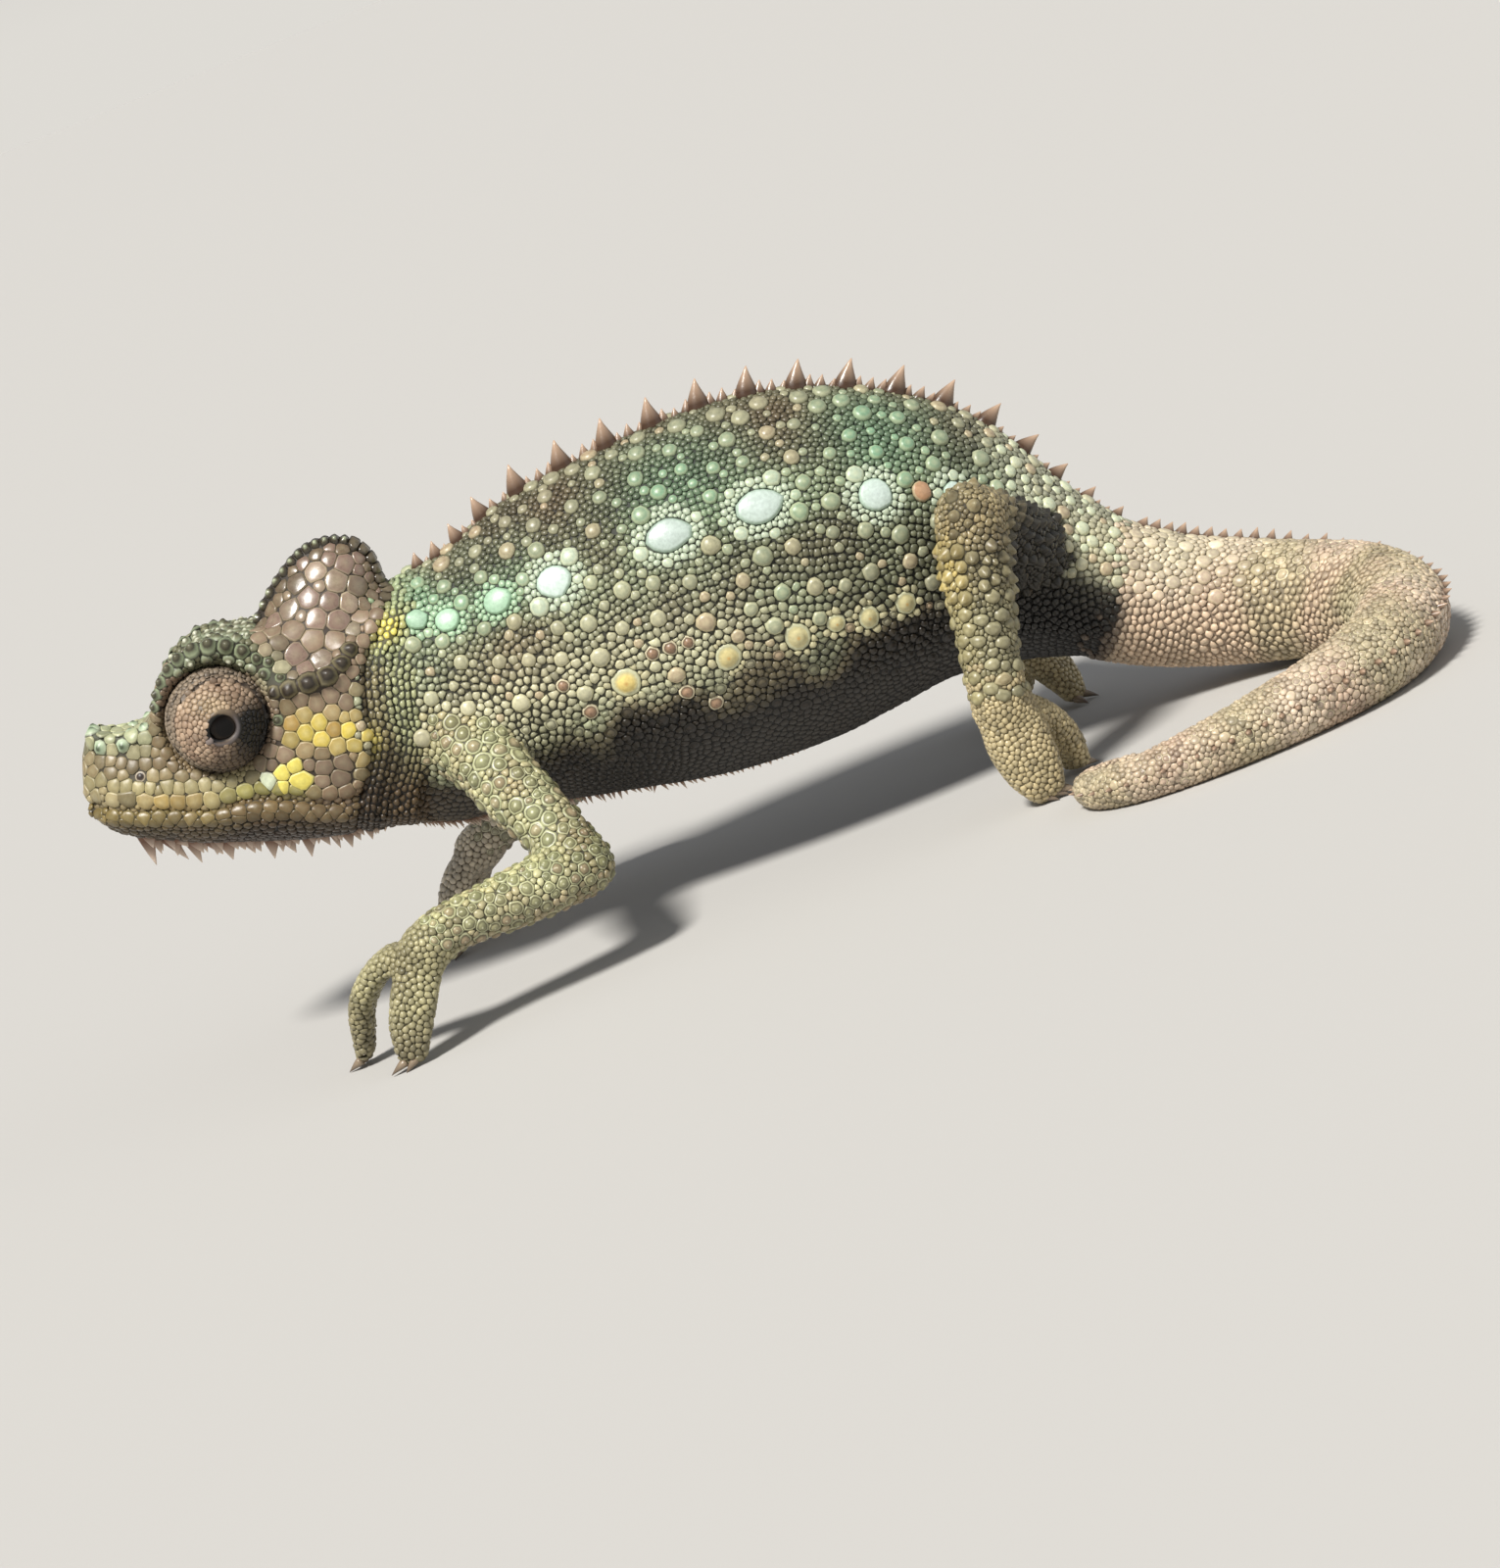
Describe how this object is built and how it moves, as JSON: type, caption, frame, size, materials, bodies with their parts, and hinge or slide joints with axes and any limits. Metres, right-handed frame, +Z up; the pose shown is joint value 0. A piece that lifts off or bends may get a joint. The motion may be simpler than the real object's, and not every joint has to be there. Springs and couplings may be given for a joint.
{
  "type": "high-casqued chameleon figure",
  "caption": "Life-size chameleon standing still: tall casque, spined back and chin, domed eyelids, gripping feet, tail laid in a hook on the floor.",
  "frame": {"origin": "on the floor under the middle of the animal's bounding box", "axes": "the snout points to -X and the tail lies at +X, so X is the longest way; the animal's left side faces -Y; +Z is up"},
  "size_m": [0.0831, 0.0396, 0.0307],
  "materials": {
    "head": "dry scaly skin, slightly satin",
    "trunk": "dry scaly skin, slightly satin",
    "tail": "dry scaly skin, slightly satin",
    "leg": "dry scaly skin, slightly satin",
    "turret": "dry scaly skin, slightly satin",
    "eye": "wet and glossy"
  },
  "bodies": {
    "root": {"head": "head", "jaw": "head", "casque": "head", "eyelids_left": "turret", "eyelids_right": "turret", "eye_left": "eye", "eye_right": "eye", "neck": "trunk", "torso": "trunk", "hips": "trunk", "tail_1": "tail", "tail_2": "tail", "tail_3": "tail", "tail_4": "tail", "tail_5": "tail", "upper_arm_left": "leg", "forearm_left": "leg", "forefoot_left": "leg", "thigh_left": "leg", "shank_left": "leg", "hindfoot_left": "leg", "upper_arm_right": "leg", "forearm_right": "leg", "forefoot_right": "leg", "thigh_right": "leg", "shank_right": "leg", "hindfoot_right": "leg"}
  },
  "joints": []
}
